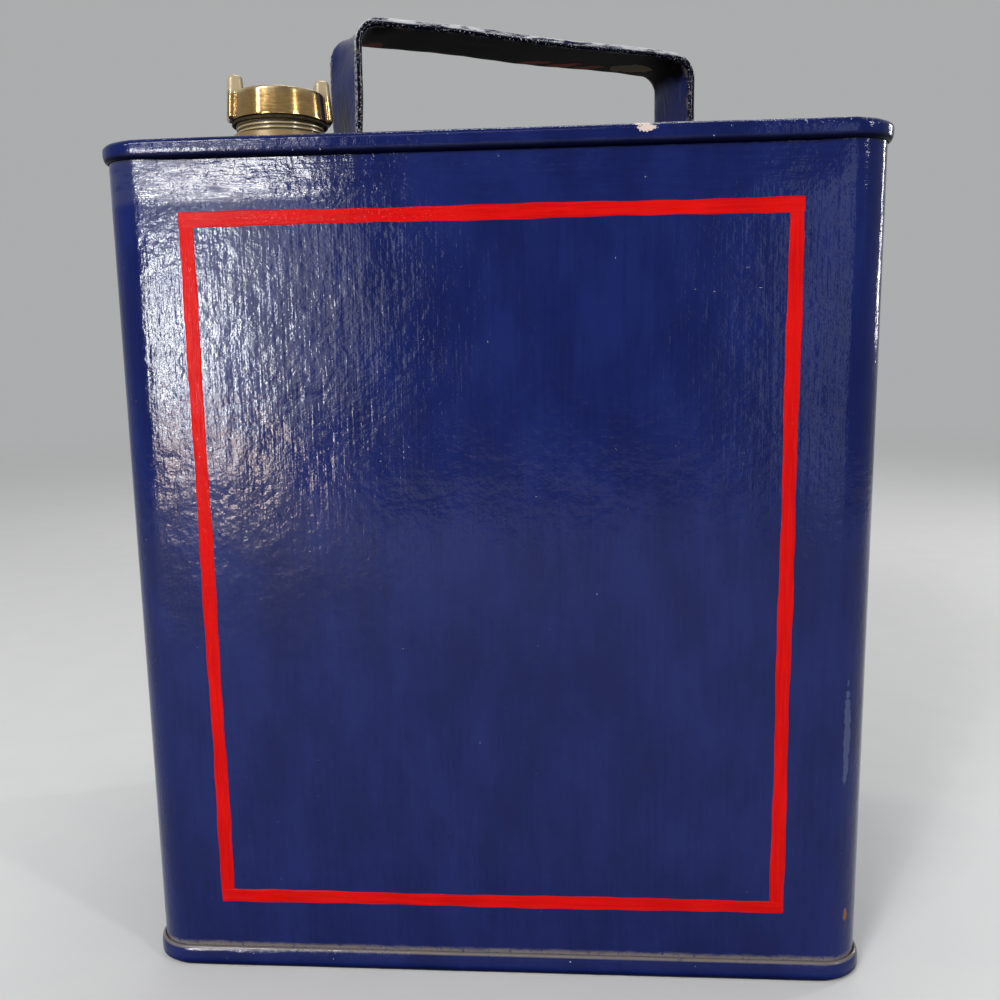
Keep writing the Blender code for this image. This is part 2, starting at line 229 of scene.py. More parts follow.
class Tree:
    """A short way to write a material's nodes round one Principled shader."""

    def __init__(self, name):
        self.material = bpy.data.materials.new(name)
        self.material.use_nodes = True
        self.tree = self.material.node_tree
        self.shader = self.tree.nodes["Principled BSDF"]
        self.place = self.node("ShaderNodeTexCoord").outputs["Object"]
        self.x, self.y, self.z = self.split(self.place)

    def feed(self, socket, value):
        if isinstance(value, bpy.types.NodeSocket):
            self.tree.links.new(value, socket)
        elif isinstance(value, tuple) and len(value) == 3 and socket.type == "RGBA":
            socket.default_value = (*value, 1.0)
        else:
            socket.default_value = value

    def node(self, kind, settings=None, **inputs):
        made = self.tree.nodes.new(kind)
        for name, value in (settings or {}).items():
            setattr(made, name, value)
        for name, value in inputs.items():
            self.feed(made.inputs[name.replace("_", " ")], value)
        return made

    def math(self, operation, *values, kind="ShaderNodeMath", result=0):
        made = self.node(kind, {"operation": operation})
        for socket, value in zip(made.inputs, values):
            self.feed(socket, value)
        return made.outputs[result]

    def vector_math(self, operation, *values, result=0):
        return self.math(operation, *values, kind="ShaderNodeVectorMath", result=result)

    def add(self, *values):
        total = values[0]
        for value in values[1:]:
            total = self.math("ADD", total, value)
        return total

    def times(self, *values):
        total = values[0]
        for value in values[1:]:
            total = self.math("MULTIPLY", total, value)
        return total

    def reach(self, x, y):
        """The length of (x, y)."""
        return self.math("SQRT", self.add(self.times(x, x), self.times(y, y)))

    def split(self, vector):
        return self.node("ShaderNodeSeparateXYZ", Vector=vector).outputs

    def stretch(self, scale, turn=0.0):
        """The place scaled per axis after a turn about Z."""
        turned = self.node("ShaderNodeMapping", {"vector_type": "TEXTURE"}, Vector=self.place)
        turned.inputs["Rotation"].default_value = (0, 0, turn)
        return self.vector_math("MULTIPLY", turned.outputs[0], scale)

    def noise(self, scale, detail=2.0, roughness=0.5, turn=0.0):
        size = scale if isinstance(scale, tuple) else (scale, scale, scale)
        vector = self.stretch(size, turn)
        made = self.node("ShaderNodeTexNoise", Vector=vector, Scale=1.0, Detail=detail, Roughness=roughness)
        return made.outputs["Fac"]

    def cells(self, scale):
        vector = self.stretch((scale, scale, scale))
        return self.node("ShaderNodeTexVoronoi", Vector=vector, Scale=1.0).outputs

    def band(self, value, low, high, start=0.0, end=1.0):
        """Value mapped smoothly from low..high to start..end, held beyond both ends."""
        made = self.node("ShaderNodeMapRange", {"interpolation_type": "SMOOTHSTEP"})
        for socket, given in zip(made.inputs, (value, low, high, start, end)):
            self.feed(socket, given)
        return made.outputs[0]

    def patches(self, scale, detail, roughness, *limits, turn=0.0):
        """Noise cut into patches by the limits of a band."""
        return self.band(self.noise(scale, detail, roughness, turn), *limits)

    def wear_layer(self):
        """The share of wear kept on a mesh's points."""
        return self.node("ShaderNodeAttribute", {"attribute_name": "wear"}).outputs["Fac"]

    def mix(self, share, first, second, kind="RGBA"):
        made = self.node("ShaderNodeMix", {"data_type": kind})
        start, result = {"RGBA": (6, 2), "FLOAT": (2, 0)}[kind]
        for socket, value in zip((0, start, start + 1), (share, first, second)):
            self.feed(made.inputs[socket], value)
        return made.outputs[result]

    def paint(self, share, colour):
        """Lays a colour over the one so far."""
        self.colour = self.mix(share, self.colour, colour)

    def set(self, **inputs):
        for name, value in inputs.items():
            self.feed(self.shader.inputs[name.replace("_", " ")], value)

    def bump(self, *layers):
        """Relief felt by the shader, from textures and their heights in metres."""
        height = self.add(*(self.times(texture, size) for texture, size in layers))
        made = self.node("ShaderNodeBump", Height=height, Strength=1.0, Distance=1.0)
        self.feed(self.shader.inputs["Normal"], made.outputs[0])


def blob(tree, centre, size, ragged=0.35, detail_scale=900.0):
    """A ragged patch round a point: 1 inside and 0 outside."""
    scaled = tree.vector_math("DIVIDE", tree.vector_math("SUBTRACT", tree.place, centre), size)
    length = tree.vector_math("LENGTH", scaled, result="Value")
    wander = tree.math("MULTIPLY_ADD", tree.noise(detail_scale, 3.0), 2 * ragged, -ragged)
    return tree.band(tree.add(length, wander), 0.95, 1.05, 1.0, 0.0)


# Paint colours, with painted shade and painted glints among them
navy_deep = (0.0002, 0.0039, 0.0520)
navy_light = (0.0024, 0.0083, 0.0765)
navy_run = (0.0001, 0.0030, 0.0440)
navy_shadow = (0.0001, 0.0008, 0.0080)
navy_edge_dark = (0.0009, 0.0014, 0.0060)
navy_graze = (0.11, 0.13, 0.24)
leg_scuff = (0.045, 0.050, 0.110)
pale_glint = (0.52, 0.55, 0.62)
primer = (0.50, 0.40, 0.36)
strap_shade_black = (0.0012, 0.0011, 0.0016)
strap_brown = (0.026, 0.007, 0.005)
red_thick = (0.49, 0.0042, 0.0033)
red_thin = (0.39, 0.0019, 0.0019)

# Metal and dirt colours; the strap's pale steel also stands in for painted highlights and glints
rust = (0.16, 0.055, 0.022)
grime = (0.145, 0.120, 0.100)
road_dust = (0.150, 0.134, 0.128)
metal_grey = (0.36, 0.35, 0.34)
rim_nick = (0.42, 0.43, 0.47)
strap_nick_and_glint = (0.46, 0.46, 0.47)
strap_bare_and_highlight = (0.47, 0.47, 0.49)
brass_dark = (0.33, 0.200, 0.062)
brass_light = (0.45, 0.290, 0.112)

# Tones of the dull finishes: light, dark and spots
steel_tones = (0.42, 0.41, 0.39), (0.26, 0.25, 0.23), rust
solder_tones = (0.46, 0.46, 0.47), (0.25, 0.25, 0.27), navy_deep
leather_tones = (0.045, 0.034, 0.017), (0.016, 0.012, 0.006), (0.006, 0.004, 0.002)

# Heights of the textures
streak_height = 0.000064
bristle_height = 0.000011
peel_height = 0.000100
grit_height = 0.000020
sag_height = 0.00026
pimple_height = 0.00016
chip_height = -0.00012
scratch_height = -0.00008
strap_relief = 0.00008
red_streak_height = 0.00018
red_peel_height = 0.00014
drawn_height = 0.000005
turned_height = 0.000003
pitted_height = 0.00003
cloud_height = 0.00010
strap_streak = (60, 900, 900)

# Levels on the body and handle where the paint changes
rim_streak_levels = (0.2525, 0.2625)
crest_levels = (can_height - 0.0009, can_height - 0.0001)
bruise_levels = (can_height - 0.0030, can_height - 0.0005)
dust_levels = (panel_face + 0.0015, panel_face)
under_rim_levels = (can_height - 0.0036, can_height - 0.0054)
groove_levels = (can_height - 0.0066, can_height - 0.0058)
lit_levels = (can_height - 0.0205, can_height - 0.0165)
foot_dirt_levels = (0.0100, 0.0082)
ledge_levels = (0.0058, 0.0064)
foot_shadow_levels = (0.0026, 0.0008)
foot_shine_levels = (0.0040, 0.0015)
foot_bare_levels = (0.0006, 0.0001)
arris_levels = (handle_top - 0.014, handle_top - 0.004)
leg_levels = (0.3125, 0.3065)

# Primer and bare metal under the handle's top, as (x, y, reach in x, reach in y, colour)
underside_level, underside_reach = 0.3127, 0.003
underside_patches = (
    (-0.0462, -0.0080, 0.0048, 0.0042, (0.200, 0.036, 0.016)),
    (0.0110, 0.0214, 0.0070, 0.0020, (0.210, 0.032, 0.018)),
    (0.0220, 0.0268, 0.0070, 0.0022, (0.210, 0.032, 0.018)),
    (0.0320, 0.0318, 0.0060, 0.0018, (0.180, 0.034, 0.018)),
    (0.0490, 0.0352, 0.0085, 0.0045, (0.110, 0.084, 0.040)),
)


def outside_wall(tree):
    """1 outside the body's wall seen from above, and 0 inside it."""
    over = []
    for place, half in ((tree.x, half_width), (tree.y, half_depth)):
        past = tree.add(tree.math("ABSOLUTE", place), corner_radius - half)
        over.append(tree.math("MAXIMUM", past, 0.0))
    return tree.band(tree.reach(*over), corner_radius - 0.0003, corner_radius + 0.0001)


def settled_dirt(tree):
    """Dust and grime by turns."""
    return tree.mix(tree.band(tree.wear, 0.4, 0.6), road_dust, grime)


def wear_top(tree):
    """The top rim's rubbed and nicked crest, its chip, dust on the panel and shade under the rim."""
    crest = tree.band(tree.z, *crest_levels)
    tree.paint(tree.times(crest, tree.band(tree.wear, 0.60, 0.66), 0.75), grime)
    nick = tree.times(crest, tree.patches(1300, 3.0, 0.6, 0.57, 0.62), tree.band(tree.patch, 0.42, 0.56))
    bruise = tree.times(
        tree.band(tree.x, 0.070, 0.105),
        tree.band(tree.z, *bruise_levels),
        tree.patches(900, 4.0, 0.7, 0.58, 0.66),
        tree.band(tree.y, -0.070, -0.078),
    )
    tree.paint(tree.math("MAXIMUM", nick, bruise), rim_nick)
    chip = tree.math(
        "MAXIMUM",
        blob(tree, (0.0463, -0.0818, 0.2654), (0.0027, 0.0016, 0.0010), 0.7, 1300.0),
        blob(tree, (0.0450, -0.0812, 0.2668), (0.0028, 0.0012, 0.0006), 0.5),
    )
    tree.paint(chip, primer)
    tree.relief.append((chip, chip_height))
    tree.paint(tree.times(tree.band(tree.z, *dust_levels), 0.24, tree.band(tree.patch, 0.30, 0.72)), grime)
    under = tree.times(tree.band(tree.z, *under_rim_levels), outside_wall(tree))
    tree.paint(under, navy_shadow)
    tree.shine = tree.band(under, 0.0, 1.0, 0.26, 0.03)


def wear_base(tree):
    """Dirt on the base rim's ledge, shade at its foot, and bare metal where the can stands."""
    grain = tree.add(tree.times(tree.wear, 0.45), tree.times(tree.noise((60, 60, 500), 3.0, 0.6), 0.55))
    ledge = tree.times(tree.band(tree.z, *ledge_levels), tree.band(grain, 0.26, 0.44), 0.85)
    tree.paint(ledge, settled_dirt(tree))
    tree.paint(tree.band(tree.z, *foot_shadow_levels), navy_shadow)
    tree.paint(tree.times(tree.band(tree.z, *foot_bare_levels), tree.band(tree.wear, 0.40, 0.55)), metal_grey)
    tree.shine = tree.band(tree.z, *foot_shine_levels, 0.30, 0.05)
    tree.gloss = (0.11, 0.18)


def wear_body(tree):
    """Dirt above the base rim, rubbed side seams, shade under the top rim and runs in the paint."""
    foot = tree.add(tree.z, tree.times(tree.noise((130, 130, 500), 4.0, 0.75), 0.0024))
    dirt = tree.times(tree.band(foot, *foot_dirt_levels), tree.band(tree.wear, 0.26, 0.50), 0.85)
    tree.paint(dirt, settled_dirt(tree))
    seam = tree.band(tree.math("ABSOLUTE", tree.x), half_width + 0.0002, half_width + 0.0008)
    tree.paint(tree.times(seam, tree.patches((500, 500, 130), 4.0, 0.6, 0.56, 0.68), 0.6), grime)
    tree.paint(tree.band(tree.z, *groove_levels), navy_shadow)
    tree.paint(tree.patches((330, 330, 22), 3.0, 0.6, 0.62, 0.74, 0.0, 0.32), navy_run)


def wear_front(tree):
    """As on the body, with a glossier band at the upper left, a graze and a scratch down to rust."""
    wear_body(tree)
    lit = tree.times(
        tree.band(tree.z, *lit_levels),
        tree.band(tree.x, -0.026, -0.058),
        tree.patches((48, 48, 300), 4.0, 0.65, 0.38, 0.58, 0.25, 1.0),
    )
    tree.shine = tree.band(lit, 0.0, 1.0, 0.27, 0.95)
    graze = blob(tree, (0.1096, -0.0795, 0.0830), (0.0011, 0.003, 0.0150), 0.75, 420.0)
    tree.paint(tree.times(graze, 0.32), navy_graze)
    scratch = blob(tree, (0.1116, -0.0780, 0.0220), (0.0007, 0.004, 0.0021), 0.35)
    tree.paint(scratch, rust)
    tree.relief.append((scratch, scratch_height))


def wear_handle(tree):
    """Darker navy and grime along the strap's edges, pale bare steel with a painted highlight on its upper
    arris, brighter towards the top, and pale nicks that are partly painted glints.
    """
    worn = tree.wear_layer()
    # The strap's edges are painted darker navy
    tree.paint(worn, navy_edge_dark)
    tree.paint(tree.times(worn, tree.patches(420, 4.0, 0.65, 0.60, 0.66), 0.6), grime)
    # Upper arris: pale bare steel with a painted highlight, brighter towards the top of the handle
    arris = tree.times(
        tree.band(worn, 0.25, 0.50),
        tree.band(worn, 0.95, 0.65),
        tree.patches((140, 900, 900), 4.0, 0.7, 0.38, 0.58, turn=handle_turn),
        tree.band(tree.z, *arris_levels, 0.40, 0.95),
    )
    tree.paint(arris, strap_bare_and_highlight)
    # Pale nicks along the edges, partly painted glints
    tree.paint(tree.times(worn, tree.patches(1500, 3.0, 0.6, 0.62, 0.66)), strap_nick_and_glint)
    tree.shine = 0.10


wear_of = {"front": wear_front, "back": wear_body, "top": wear_top, "base": wear_base, "handle": wear_handle}


def brush_marks(tree, part):
    """Streaks and bristle marks: along the strap, upright on the body, and level near its rims."""
    if part == "handle":
        streak = tree.noise(strap_streak, 3.0, 0.6, handle_turn)
        return streak, tree.noise((140, 2600, 2600), 2.0, 0.5, handle_turn)
    bristle = tree.noise((2600, 2600, 110), 2.0, 0.5)
    if part in ("top", "base"):
        return tree.noise((90, 700, 850), 3.0, 0.6), bristle
    upright = tree.noise((760, 760, 36), 3.0, 0.6)
    level = tree.noise((90, 90, 850), 3.0, 0.6)
    near_rim = tree.band(tree.add(tree.z, tree.times(tree.noise(60), 0.02)), *rim_streak_levels)
    return tree.mix(near_rim, upright, level, "FLOAT"), bristle


def enamel(part):
    """Navy enamel laid on by brush, with the part's own wear and small painted glints."""
    tree = Tree(f"paint_{part}")
    streak, bristle = brush_marks(tree, part)
    sag = tree.noise(95)
    dust = tree.cells(210)
    pick = tree.split(dust["Color"])
    pimple = tree.times(
        tree.band(dust["Distance"], 0.0, 0.11, 1.0, 0.0),
        tree.math("GREATER_THAN", pick[0], 0.72),
    )
    tree.relief = [
        (streak, streak_height),
        (bristle, bristle_height),
        (tree.noise(420, 2.0, 0.6), peel_height),
        (tree.noise(1500, 2.0, 0.6), grit_height),
        (sag, sag_height),
        (pimple, pimple_height),
    ]
    tree.patch = tree.noise((52, 52, 26), 5.0, 0.62)
    tree.wear = tree.noise(700, 4.0, 0.6)
    thin = tree.band(tree.add(tree.patch, tree.times(streak, 0.35)), 0.50, 0.86)
    tree.colour = tree.mix(thin, navy_deep, navy_light)
    tree.shine = 0.27
    tree.gloss = (0.08, 0.14)
    wear_of[part](tree)
    # Pale specks: painted glints, as on dust nibs catching a lamp
    speck = tree.times(
        tree.math("GREATER_THAN", pick[1], 0.90),
        tree.band(dust["Distance"], 0.02, 0.06, 1.0, 0.0),
    )
    tree.paint(tree.times(speck, 0.6), pale_glint)
    rough = tree.band(sag, 0.3, 0.7, *tree.gloss)
    tree.set(Base_Color=tree.colour, Roughness=rough, Specular_IOR_Level=tree.shine)
    tree.bump(*tree.relief)
    return tree.material


def strap_underside():
    """The handle's inner face: navy legs, and a top painted near-black as shade, with red primer and bare
    edges showing.
    """
    tree = Tree("strap_underside")
    # Near-black with dark brown patches: painted shade under the strap's top
    tree.colour = tree.mix(tree.patches(70, 4.0, 0.6, 0.60, 0.70), strap_shade_black, strap_brown)
    for x, y, reach_x, reach_y, colour in underside_patches:
        reach = (reach_x, reach_y, underside_reach)
        tree.paint(blob(tree, (x, y, underside_level), reach, 0.6, 420.0), colour)
    level = tree.add(tree.z, tree.times(tree.noise(160, 3.0), 0.006))
    scuff = tree.patches((700, 700, 70), 3.0, 0.6, 0.54, 0.70, 0.0, 0.5)
    tree.paint(tree.band(level, *leg_levels), tree.mix(scuff, navy_deep, leg_scuff))
    tree.paint(tree.times(tree.wear_layer(), tree.patches(300, 4.0, 0.6, 0.45, 0.58), 0.6), grime)
    tree.set(Base_Color=tree.colour, Roughness=tree.band(level, *leg_levels, 0.60, 0.22))
    tree.set(Specular_IOR_Level=tree.band(level, *leg_levels, 0.02, 0.20))
    tree.bump((tree.noise(strap_streak, 3.0, 0.6, handle_turn), strap_relief))
    return tree.material


def red_enamel(name, scale):
    """Red sign-writer's enamel with streaks along the stroke."""
    tree = Tree(name)
    streak = tree.noise(scale, 3.0, 0.6)
    thin = tree.band(tree.add(streak, tree.times(tree.noise(55), 0.5)), 0.55, 1.0)
    rough = tree.band(streak, 0.3, 0.7, 0.08, 0.16)
    tree.set(Base_Color=tree.mix(thin, red_thick, red_thin), Roughness=rough, Specular_IOR_Level=0.05)
    tree.bump((streak, red_streak_height), (tree.noise(700), red_peel_height))
    return tree.material


def brass(part):
    """Old handled brass: golden brown, rubbed bright on proud edges and dark in its hollows, with painted
    shade under the cap's head.
    """
    tree = Tree(f"brass_{part}")
    radius = tree.reach(tree.x, tree.y)
    cloud = tree.noise(160, 4.0, 0.6)
    drawn = tree.noise((240, 240, 1900), 3.0, 0.65)
    turned = tree.noise((40, 40, 3200))
    shade = tree.add(tree.times(cloud, 0.5), tree.times(drawn, 0.5))
    tree.colour = tree.mix(tree.band(shade, 0.36, 0.66), brass_dark, brass_light)
    if part == "thread":
        hollow = tree.band(radius, thread_crest - 0.0001, thread_root + 0.0001)
        tree.paint(0.6, (0.36, 0.32, 0.20))
        tree.paint(tree.times(hollow, 0.85), (0.050, 0.038, 0.020))
        dirt = tree.math("MAXIMUM", hollow, 0.68)
    elif part == "collar":
        painted = tree.band(tree.add(radius, tree.times(tree.noise(260, 3.0), 0.0022)), 0.0176, 0.0179)
        low = tree.band(tree.z, panel_face + 0.0040, panel_face + 0.0012, 0.0, 0.5)
        tree.paint(low, (0.045, 0.034, 0.018))
        tree.paint(0.60, (0.110, 0.078, 0.043))
        tree.paint(painted, navy_deep)
        dirt = tree.math("MAXIMUM", painted, 0.70)
    else:
        lug_level = tree.add(tree.z, tree.times(cloud, 0.004))
        lug = tree.band(lug_level, head_height - 0.0010, head_height + 0.0035)
        tree.paint(tree.times(lug, 0.8), (0.37, 0.31, 0.195))
        tree.paint(tree.times(tree.patches(420, 4.0, 0.65, 0.58, 0.68, 0.0, 0.5), lug), (0.22, 0.21, 0.15))
        # Painted shade on the underside of the head
        tree.paint(tree.band(tree.z, 0.0003, -0.0001, 0.0, 0.8), (0.035, 0.024, 0.012))
        dirt = tree.math("MAXIMUM", tree.times(lug, 0.8), 0.28)
    rough = tree.math("MAXIMUM", tree.band(shade, 0.36, 0.64, 0.10, 0.19), tree.times(dirt, 0.5))
    tree.set(Base_Color=tree.colour, Roughness=rough, Metallic=tree.band(dirt, 0.2, 0.8, 1.0, 0.25))
    tree.set(Coat_Weight=0.0 if part == "collar" else 0.50, Coat_Roughness=0.09)
    tree.bump((drawn, drawn_height), (cloud, pitted_height), (turned, turned_height))
    return tree.material


def dull_finish(name, light, dark, spot, metallic, low, high, scale=300.0):
    """Bare or soldered steel and leather: two tones in clouds with dark spots."""
    tree = Tree(name)
    cloud = tree.noise(scale, 4.0, 0.6)
    tree.colour = tree.mix(tree.band(cloud, 0.35, 0.65), dark, light)
    tree.paint(tree.patches(scale * 3, 3.0, 0.5, 0.62, 0.70, 0.0, 0.7), spot)
    tree.set(Base_Color=tree.colour, Roughness=tree.band(cloud, 0.3, 0.7, low, high), Metallic=metallic)
    tree.set(Specular_IOR_Level=0.5 if metallic > 0 else 0.1)
    tree.bump((cloud, cloud_height))
    return tree.material


# Mesh helpers


def finish_mesh(name, bm, materials, sharp=radians(38), place=(0, 0, 0)):
    """An object from a bmesh, with the angle from which its edges stay sharp."""
    bmesh.ops.recalc_face_normals(bm, faces=bm.faces)
    mesh = bpy.data.meshes.new(name)
    bm.to_mesh(mesh)
    bm.free()
    for material in materials:
        mesh.materials.append(material)
    piece = bpy.data.objects.new(name, mesh)
    scene.collection.objects.link(piece)
    piece.location = place
    piece["sharp"] = sharp
    return piece


def apply_modifiers(piece):
    """Replaces the mesh by its evaluated form."""
    graph = bpy.context.evaluated_depsgraph_get()
    mesh = bpy.data.meshes.new_from_object(piece.evaluated_get(graph))
    piece.modifiers.clear()
    piece.data = mesh


def shade(piece):
    """The final mesh, smooth with its sharp edges kept."""
    if piece.modifiers:
        apply_modifiers(piece)
    piece.data.shade_smooth()
    piece.data.set_sharp_from_angle(angle=piece["sharp"])
    del piece["sharp"]


def settle(piece, *nodes, body="can", slot="body_paint"):
    """The last step for a piece: its final mesh, its body, and hiding the parts it stands for; its slot is
    not used.
    """
    shade(piece)
    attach(piece, body)
    if nodes:
        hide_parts(*nodes)


def join_rings(bm, near, far):
    """Quads between two closed rings of vertices."""
    count = len(near)
    for here in range(count):
        there = (here + 1) % count
        bm.faces.new((near[here], near[there], far[there], far[here]))


def add_rings(bm, rings):
    """Vertices for closed rings of points, with quads from each ring to the next."""
    made = [[bm.verts.new(point) for point in ring] for ring in rings]
    for near, far in zip(made, made[1:]):
        join_rings(bm, near, far)
    return made


def cap_ends(bm, made):
    """One face over the first ring and one over the last."""
    bm.faces.new(made[0])
    bm.faces.new(made[-1][::-1])


def thicken(piece):
    """Gives a surface the sheet's thickness, with the second material inside."""
    solid = piece.modifiers.new("Sheet", "SOLIDIFY")
    solid.thickness = sheet
    solid.offset = 0
    solid.use_even_offset = True
    solid.use_quality_normals = True
    solid.material_offset = 1
    solid.material_offset_rim = 0


def arc(centre, radius, start, end, steps):
    """Points on an arc, both ends included, with the angles in degrees."""
    points = []
    for step in range(steps + 1):
        angle = radians(start + (end - start) * step / steps)
        points.append((centre[0] + radius * cos(angle), centre[1] + radius * sin(angle)))
    return points


def eased(x, z, ease, steps):
    """An outside corner at (x, z), rounded from its top to its side."""
    return arc((x - ease, z - ease), ease, 90, 0, steps)


def smooth(value, low, high):
    """An eased step from 0 at low to 1 at high."""
    share = min(1.0, max(0.0, (value - low) / (high - low)))
    return share * share * (3 - 2 * share)


def between(first, second, count):
    """Count points from first towards second, the last one left out."""
    return [tuple(a + (b - a) * step / count for a, b in zip(first, second)) for step in range(count)]


# Body


def panel_offset(x, z):
    """How far the wide faces stand in at a point, from dents, the swage and the bow."""
    dent = 0.0
    for dent_x, dent_z, reach_x, reach_z, depth in dents:
        dent += depth * exp(-(((x - dent_x) / reach_x) ** 2) - ((z - dent_z) / reach_z) ** 2)
    flat_half = half_width - corner_radius
    inside = flat_half - abs(x)
    edge = smooth(inside, 0.0, dent_side_fade)
    ends = smooth(z, *dent_foot) * smooth(dent_high - z, 0.0, dent_high_fade)
    swage = swage_depth * smooth(z, *swage_rise) * smooth(inside, 0.0, swage_side_fade)
    bow = 0.0
    if inside > 0:
        bow = -bow_depth * (1 - (x / flat_half) ** 2) * (1 - ((z - bow_middle) / bow_reach) ** 2)
    return dent * edge * ends + swage + bow * edge


def seam_points():
    """The hooked edge as (along the wall, outward from its middle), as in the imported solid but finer."""
    fold = sheet + fit_gap
    step_in = 1.5 * fold
    points = []
    jog_steps = 8
    for step in range(jog_steps + 1):
        share = step / jog_steps
        along = -seam_overlap - seam_jog_start + seam_jog_run * share
        points.append((along, -step_in * smooth(share, 0.0, 1.0)))
    points += arc((seam_overlap, step_in - 2 * fold), fold, -90, 90, 12)
    points.append((-seam_overlap, step_in - fold))
    return points


def add_body_half(name, side, materials):
    """One pressed half: the wide face, two rounded corners and a hooked edge on each narrow side."""
    middle_x = half_width - sheet / 2
    middle_y = half_depth - sheet / 2
    radius = corner_radius - sheet / 2
    centre = (middle_x - radius, -(middle_y - radius))
    seam = seam_points()
    wall = between((0, -middle_y), (centre[0], -middle_y), 30)
    wall += arc(centre, radius, -90, 0, 16)
    wall += between((middle_x, centre[1]), (middle_x, seam[0][0]), 14)[1:]
    fold = [(middle_x + out, along) for along, out in seam]
    if side > 0:
        fold = [(2 * middle_x - x, y) for x, y in fold]

    seam_bottom = base_rim_height + seam_relief / 2
    seam_top = can_height - top_rim_height - seam_relief / 2
    shell_bottom = sheet + fit_gap + shell_play
    shell_top = can_height - shell_bottom - sheet
    level_steps = 64
    levels = [shell_bottom, seam_bottom - seam_relief]
    levels += [seam_bottom + (seam_top - seam_bottom) * step / level_steps for step in range(level_steps + 1)]
    levels += [seam_top + seam_relief, shell_top]
    last = len(levels) - 1

    bm = bmesh.new()

    def column(point, mirror, low, high):
        made = []
        for z in levels[low : high + 1]:
            x, y = point
            inward = panel_offset(mirror * x * -side, z) if y < -middle_y + weld else 0.0
            made.append(bm.verts.new((mirror * x, -side * (y + inward), z)))
        return made

    def join(first, second, mirror):
        for here in range(len(first) - 1):
            corners = (first[here], second[here], second[here + 1], first[here + 1])
            bm.faces.new(corners if mirror > 0 else corners[::-1])

    middle_column = column(wall[0], 1, 0, last)
    for mirror in (-1, 1):
        previous = middle_column
        for point in wall[1:]:
            current = column(point, mirror, 0, last)
            join(previous, current, mirror)
            previous = current
        split = column(fold[0], mirror, 0, last)
        join(previous, split, mirror)
        previous = split[2:-2]
        for point in fold[1:]:
            current = column(point, mirror, 2, last - 2)
            join(previous, current, mirror)
            previous = current
        tongue = (middle_x, -fit_gap / 2)
        for low in (0, last - 1):
            join(split[low : low + 2], column(tongue, mirror, low, low + 1), mirror)
    piece = finish_mesh(name, bm, materials)
    thicken(piece)
    return piece


def outline(half_x, half_y, radius):
    """A rounded rectangle as a closed list of points with extra points along the straight sides."""
    curves = []
    for quarter, (side_x, side_y) in enumerate(((1, -1), (1, 1), (-1, 1), (-1, -1))):
        centre = (side_x * (half_x - radius), side_y * (half_y - radius))
        curves.append(arc(centre, radius, 90 * quarter - 90, 90 * quarter, 18))
    points = []
    for curve, ahead, steps in zip(curves, curves[1:] + curves[:1], (22, 34, 22, 34)):
        points += curve + between(curve[-1], ahead[0], steps)[1:]
    return points


def rim_profile(recess, rim_height, crown_radius, lip_rise):
    """The middle of a panel's sheet as (outward from the body's face, inward from the can's end)."""
    half = sheet / 2
    inner = -(sheet + fit_gap + half)
    outer = rim_proud - half
    side_top = half + crown_radius
    side_bottom = rim_height - half - lip_rise
    points = arc((inner - panel_fillet, recess + half - panel_fillet), panel_fillet, 90, 0, 6)
    points += arc((inner + crown_radius, side_top), crown_radius, 180, 270, 8)
    points += arc((outer - crown_radius, side_top), crown_radius, 270, 360, 8)[1:]
    points += between((outer, side_top), (outer, side_bottom), 4)[1:]
    for across, along in arc((0, 0), 1, 0, 90, 12):
        points.append((fit_gap + across * (outer - fit_gap), side_bottom + along * lip_rise))
    return points


def wobble(turns, phase):
    """A slow hand-made wave of 0 to 1 at a share of the way round."""
    value = 0.0
    for count, weight, shift in ((7, 0.4, 0.0), (17, 0.35, 1.7), (31, 0.25, 4.1)):
        value += weight * sin(2 * pi * count * turns + shift + phase)
    return 0.5 + 0.5 * value


def add_end_panel(name, is_top, materials, holes):
    """A recessed panel and its rolled rim, slightly uneven as a hand-dressed rim is."""
    if is_top:
        recess, rim_height, lip_rise, phase = top_recess, top_rim_height, rim_lip_rise, 0.0
        crown_radius = (rim_proud + fit_gap + sheet) / 2
    else:
        recess, rim_height, lip_rise, phase = base_recess, base_rim_height, base_lip_rise, 2.0
        crown_radius = rim_foot_radius
    rings = []
    for outward, inward in rim_profile(recess, rim_height, crown_radius, lip_rise):
        points = outline(half_width + outward, half_depth + outward, corner_radius + outward)
        rolled = smooth(outward, *rim_roll)
        crest = smooth(-inward, *rim_crest_height) * smooth(outward, *rim_crest) * rim_wobble
        ring = []
        for index, (x, y) in enumerate(points):
            share = index / len(points)
            pull = rolled * rim_wobble * wobble(share, phase)
            drop = crest * wobble(share, 1.0) * is_top
            past = min(abs(x) - half_width, abs(y) - half_depth) + corner_radius + rim_corner_margin
            corner = smooth(past, 0.0, rim_corner_reach)
            drop += rim_corner_drop * corner * rolled * smooth(-inward, -rim_height, 0.0)
            length = hypot(x, y)
            height = can_height - inward - drop if is_top else inward + drop
            ring.append((x - pull * x / length, y - pull * y / length, height))
        rings.append(ring)

    bm = bmesh.new()
    made = add_rings(bm, rings)
    edges = [bm.edges.get((made[0][here - 1], made[0][here])) for here in range(len(made[0]))]
    level = rings[0][0][2]
    for hole_x, hole_y, radius, count in holes:
        circle = arc((0, 0), radius, 0, 360, count)[:-1]
        ring = [bm.verts.new((hole_x + x, hole_y + y, level)) for x, y in circle]
        edges += [bm.edges.new((ring[here - 1], ring[here])) for here in range(count)]
    bmesh.ops.triangle_fill(bm, use_beauty=True, use_dissolve=False, edges=edges)
    piece = finish_mesh(name, bm, materials)
    thicken(piece)
    return piece


# Painted border


